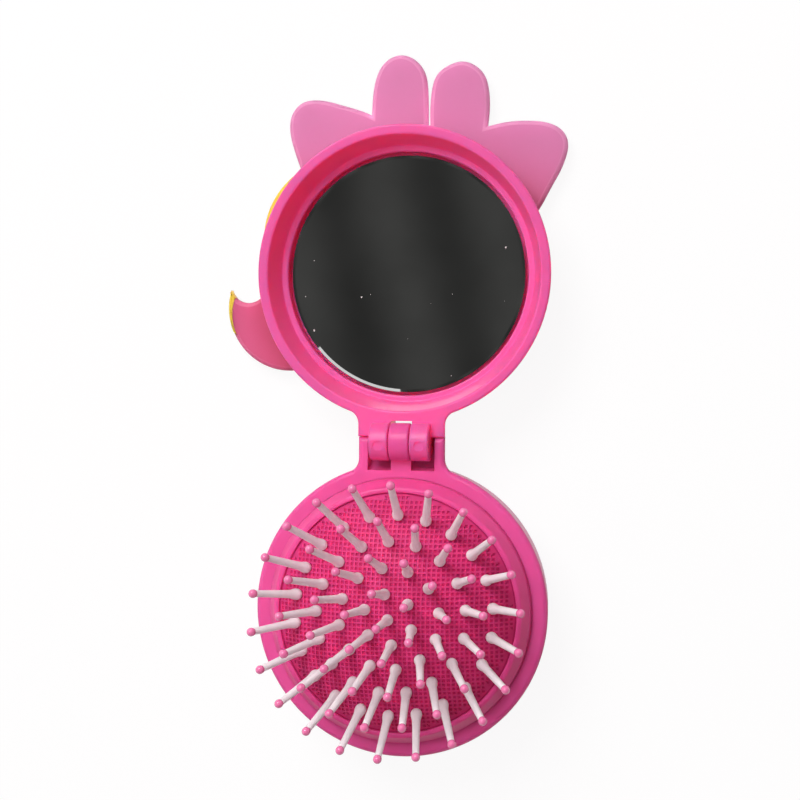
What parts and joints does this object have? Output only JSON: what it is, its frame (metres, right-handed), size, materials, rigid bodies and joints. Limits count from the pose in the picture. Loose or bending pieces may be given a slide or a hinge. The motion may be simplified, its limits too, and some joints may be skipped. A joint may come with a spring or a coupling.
{
  "type": "folding travel brush",
  "caption": "Round folding travel brush: a mirror lid on a knuckle hinge, a domed rubber cushion of ball-tipped pins that sinks as the lid shuts, and a soft lobed plaque.",
  "frame": {"origin": "middle of the thumb opening in the base's flat back face, on which the open brush lies", "axes": "+Z out of the bristles, +Y from the base over the hinge to the lid, +X along the hinge pin"},
  "size_m": [0.0784, 0.158, 0.0453],
  "materials": {
    "case_plastic": "gloss moulded pink",
    "cushion_rubber": "matt rubber with a fine dimple grid",
    "pin_steel": "drawn wire",
    "plate_plastic": "moulded",
    "mirror_face": "silvered glass",
    "foam_tape": "double-sided foam tape",
    "plaque_pink": "soft moulded sheet",
    "plaque_pale": "soft moulded inlay",
    "plaque_rose": "soft moulded relief",
    "plaque_yellow": "soft moulded trim",
    "pin_nylon": "translucent white nylon",
    "tip_resin": "dipped resin ball"
  },
  "bodies": {
    "base": {"base_shell": "case_plastic", "retaining_ring": "case_plastic", "cushion_pad": "cushion_rubber", "hinge_pin": "pin_steel"},
    "lid": {"lid_shell": "case_plastic", "mirror_glass": "mirror_face", "mirror_tape": "foam_tape", "plaque_tape": "foam_tape", "plaque_sheet": "plaque_pink", "plaque_inlays": "plaque_pale", "plaque_petals": "plaque_rose", "plaque_button": "plaque_yellow", "plaque_trim": "plaque_yellow"},
    "plunger": {"push_plate": "plate_plastic", "core_pins": "pin_nylon", "core_tips": "tip_resin", "inner_pins": "pin_nylon", "inner_tips": "tip_resin"},
    "middle_1": {"middle_pins_1": "pin_nylon", "middle_tips_1": "tip_resin"},
    "middle_2": {"middle_pins_2": "pin_nylon", "middle_tips_2": "tip_resin"},
    "middle_3": {"middle_pins_3": "pin_nylon", "middle_tips_3": "tip_resin"},
    "middle_4": {"middle_pins_4": "pin_nylon", "middle_tips_4": "tip_resin"},
    "middle_5": {"middle_pins_5": "pin_nylon", "middle_tips_5": "tip_resin"},
    "middle_6": {"middle_pins_6": "pin_nylon", "middle_tips_6": "tip_resin"},
    "outer_1": {"outer_pins_1": "pin_nylon", "outer_tips_1": "tip_resin"},
    "outer_2": {"outer_pins_2": "pin_nylon", "outer_tips_2": "tip_resin"},
    "outer_3": {"outer_pins_3": "pin_nylon", "outer_tips_3": "tip_resin"},
    "outer_4": {"outer_pins_4": "pin_nylon", "outer_tips_4": "tip_resin"},
    "outer_5": {"outer_pins_5": "pin_nylon", "outer_tips_5": "tip_resin"},
    "outer_6": {"outer_pins_6": "pin_nylon", "outer_tips_6": "tip_resin"},
    "outer_7": {"outer_pins_7": "pin_nylon", "outer_tips_7": "tip_resin"},
    "outer_8": {"outer_pins_8": "pin_nylon", "outer_tips_8": "tip_resin"}
  },
  "joints": [
    {"name": "lid_fold", "type": "hinge", "parent": "base", "child": "lid", "pos_m": [0, 0.0375, 0.0165], "axis": [1, 0, 0], "range_deg": [0, 180]},
    {"name": "cushion_pop", "type": "slide", "parent": "base", "child": "plunger", "axis": [0, 0, -1], "range_m": [0, 0.02241], "deforming": ["cushion_pad"]},
    {"name": "middle_1_tilt", "type": "hinge", "parent": "plunger", "child": "middle_1", "pos_m": [0.00197, 0.00567, 0.0288], "axis": [0.9445, -0.3285, 0], "range_deg": [0, 18.39]},
    {"name": "middle_2_tilt", "type": "hinge", "parent": "plunger", "child": "middle_2", "pos_m": [0.00595, 0.00076, 0.0288], "axis": [0.127, -0.9919, 0], "range_deg": [0, 18.39]},
    {"name": "middle_3_tilt", "type": "hinge", "parent": "plunger", "child": "middle_3", "pos_m": [0.00333, -0.00499, 0.0288], "axis": [-0.8313, -0.5558, 0], "range_deg": [0, 18.39]},
    {"name": "middle_4_tilt", "type": "hinge", "parent": "plunger", "child": "middle_4", "pos_m": [-0.00298, -0.00521, 0.0288], "axis": [-0.8681, 0.4964, 0], "range_deg": [0, 18.39]},
    {"name": "middle_5_tilt", "type": "hinge", "parent": "plunger", "child": "middle_5", "pos_m": [-0.00599, 0.00034, 0.0288], "axis": [0.0575, 0.9983, 0], "range_deg": [0, 18.39]},
    {"name": "middle_6_tilt", "type": "hinge", "parent": "plunger", "child": "middle_6", "pos_m": [-0.00333, 0.00499, 0.0288], "axis": [0.8313, 0.5558, 0], "range_deg": [0, 18.39]},
    {"name": "outer_1_tilt", "type": "hinge", "parent": "plunger", "child": "outer_1", "pos_m": [0.00025, 0.006, 0.02737], "axis": [0.9991, -0.0412, 0], "range_deg": [0, 23.55]},
    {"name": "outer_2_tilt", "type": "hinge", "parent": "plunger", "child": "outer_2", "pos_m": [0.00469, 0.00374, 0.02737], "axis": [0.6231, -0.7821, 0], "range_deg": [0, 23.55]},
    {"name": "outer_3_tilt", "type": "hinge", "parent": "plunger", "child": "outer_3", "pos_m": [0.0059, -0.0011, 0.02737], "axis": [-0.183, -0.9831, 0], "range_deg": [0, 23.55]},
    {"name": "outer_4_tilt", "type": "hinge", "parent": "plunger", "child": "outer_4", "pos_m": [0.00303, -0.00518, 0.02737], "axis": [-0.8628, -0.5055, 0], "range_deg": [0, 23.55]},
    {"name": "outer_5_tilt", "type": "hinge", "parent": "plunger", "child": "outer_5", "pos_m": [-0.00193, -0.00568, 0.02737], "axis": [-0.9471, 0.3211, 0], "range_deg": [0, 23.55]},
    {"name": "outer_6_tilt", "type": "hinge", "parent": "plunger", "child": "outer_6", "pos_m": [-0.00556, -0.00227, 0.02737], "axis": [-0.3775, 0.926, 0], "range_deg": [0, 23.55]},
    {"name": "outer_7_tilt", "type": "hinge", "parent": "plunger", "child": "outer_7", "pos_m": [-0.00535, 0.00271, 0.02737], "axis": [0.4526, 0.8917, 0], "range_deg": [0, 23.55]},
    {"name": "outer_8_tilt", "type": "hinge", "parent": "plunger", "child": "outer_8", "pos_m": [-0.00303, 0.00518, 0.02737], "axis": [0.8628, 0.5055, 0], "range_deg": [0, 23.55]}
  ],
  "couplings": [
    {"joint": "cushion_pop", "follows": "lid_fold", "m_per_rad": 0.0071301},
    {"joint": "middle_1_tilt", "follows": "lid_fold", "ratio": 0.1021},
    {"joint": "middle_2_tilt", "follows": "lid_fold", "ratio": 0.1021},
    {"joint": "middle_3_tilt", "follows": "lid_fold", "ratio": 0.1021},
    {"joint": "middle_4_tilt", "follows": "lid_fold", "ratio": 0.1021},
    {"joint": "middle_5_tilt", "follows": "lid_fold", "ratio": 0.1021},
    {"joint": "middle_6_tilt", "follows": "lid_fold", "ratio": 0.1021},
    {"joint": "outer_1_tilt", "follows": "lid_fold", "ratio": 0.13076},
    {"joint": "outer_2_tilt", "follows": "lid_fold", "ratio": 0.13076},
    {"joint": "outer_3_tilt", "follows": "lid_fold", "ratio": 0.13076},
    {"joint": "outer_4_tilt", "follows": "lid_fold", "ratio": 0.13076},
    {"joint": "outer_5_tilt", "follows": "lid_fold", "ratio": 0.13076},
    {"joint": "outer_6_tilt", "follows": "lid_fold", "ratio": 0.13076},
    {"joint": "outer_7_tilt", "follows": "lid_fold", "ratio": 0.13076},
    {"joint": "outer_8_tilt", "follows": "lid_fold", "ratio": 0.13076}
  ]
}
